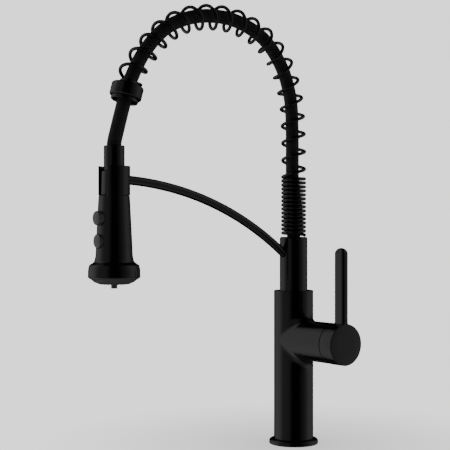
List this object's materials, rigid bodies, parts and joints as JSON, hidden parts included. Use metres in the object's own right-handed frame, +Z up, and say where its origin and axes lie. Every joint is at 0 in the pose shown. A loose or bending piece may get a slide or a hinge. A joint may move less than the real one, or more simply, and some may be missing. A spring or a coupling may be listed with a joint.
{
  "type": "spring spout kitchen faucet",
  "caption": "Tall deck-mounted faucet with a side lever, a spring-wrapped hose arching over, a docking arm and ring, and a pull-down spray head with push buttons.",
  "frame": {"origin": "centre of the underside of the base flange, on the deck plane", "axes": "+Z up the body's axis, -Y from the body toward the spray head, +X out along the valve arm to the lever"},
  "size_m": [0.1186, 0.2999, 0.4999],
  "materials": {
    "black_metal": "satin black coating",
    "black_plastic": "satin moulded black",
    "button_plastic": "soft-touch dark grey",
    "hose_braid": "woven nylon braid",
    "black_rubber": "matte",
    "brass": "machined",
    "copper": "drawn tube",
    "steel": "turned stainless",
    "acetal": "machined white",
    "ceramic": "lapped ceramic"
  },
  "bodies": {
    "base": {"base_flange": "black_metal", "base_seal": "black_rubber", "base_insert": "brass", "hot_supply_tube": "copper", "cold_supply_tube": "copper", "body_shell": "black_metal", "riser_bushing": "acetal", "riser_oring": "black_rubber", "swivel_washer": "acetal", "valve_housing": "brass", "cartridge_base": "acetal", "fixed_disc": "ceramic", "cartridge_case": "acetal", "cartridge_nut": "brass", "bonnet_dome": "black_metal"},
    "rotor": {"cartridge_rotor": "acetal", "stem_pin": "steel"},
    "disc": {"disc_carrier": "acetal", "moving_disc": "ceramic"},
    "lever": {"stem": "brass", "lever_handle": "black_metal", "handle_cap": "black_metal", "handle_screw": "steel"},
    "spout": {"riser_tube": "black_metal", "hose_coupling": "brass", "coupling_oring_lower": "black_rubber", "coupling_oring_upper": "black_rubber", "spring_seat": "acetal", "spring": "black_metal", "hose": "hose_braid", "dock_arm": "black_metal", "dock_ring": "black_metal", "dock_ring_screw": "steel", "spring_end_collar": "black_metal", "spring_end_ring": "black_metal"},
    "hose_end": {"hose_swivel_nut": "black_metal", "hose_nipple": "brass", "nipple_oring": "black_rubber"},
    "spray": {"docking_collar": "black_plastic", "spray_body": "black_plastic", "flow_tube": "acetal", "diverter_block": "acetal", "spray_face": "black_rubber", "aerator_nozzle": "black_plastic", "rocker_pin": "steel"},
    "rocker": {"button_rocker": "acetal"},
    "button_up": {"upper_button": "button_plastic"},
    "button_down": {"lower_button": "button_plastic"}
  },
  "joints": [
    {"name": "spout_swivel", "type": "hinge", "parent": "base", "child": "spout", "pos_m": [0, 0, 0.175], "axis": [0, 0, 1], "continuous": true},
    {"name": "temperature_turn", "type": "hinge", "parent": "base", "child": "rotor", "pos_m": [0.061, 0, 0.1219], "axis": [1, 0, 0], "range_deg": [-45, 45]},
    {"name": "flow_lift", "type": "hinge", "parent": "rotor", "child": "lever", "pos_m": [0.061, 0, 0.1219], "axis": [0, 1, 0], "range_deg": [0, 20]},
    {"name": "disc_slide", "type": "slide", "parent": "rotor", "child": "disc", "axis": [0, 0, 1], "range_m": [0, 0.0037]},
    {"name": "spray_pull", "type": "slide", "parent": "spout", "child": "hose_end", "axis": [0, 0, -1], "range_m": [0, 0.06], "deforming": ["hose"]},
    {"name": "spray_spin", "type": "hinge", "parent": "hose_end", "child": "spray", "pos_m": [0, -0.244, 0.3], "axis": [0, 0, 1], "continuous": true},
    {"name": "mode_rocker", "type": "hinge", "parent": "spray", "child": "rocker", "pos_m": [0, -0.2519, 0.25005], "axis": [-1, 0, 0], "range_deg": [0, 8.65]},
    {"name": "upper_button_press", "type": "slide", "parent": "spray", "child": "button_up", "axis": [0, 1, 0], "range_m": [0, 0.0018]},
    {"name": "lower_button_press", "type": "slide", "parent": "spray", "child": "button_down", "axis": [0, 1, 0], "range_m": [-0.0018, 0]}
  ],
  "couplings": [
    {"joint": "disc_slide", "follows": "flow_lift", "m_per_rad": 0.0102},
    {"joint": "mode_rocker", "follows": "upper_button_press", "rad_per_m": 83.68},
    {"joint": "lower_button_press", "follows": "upper_button_press", "ratio": -1}
  ]
}
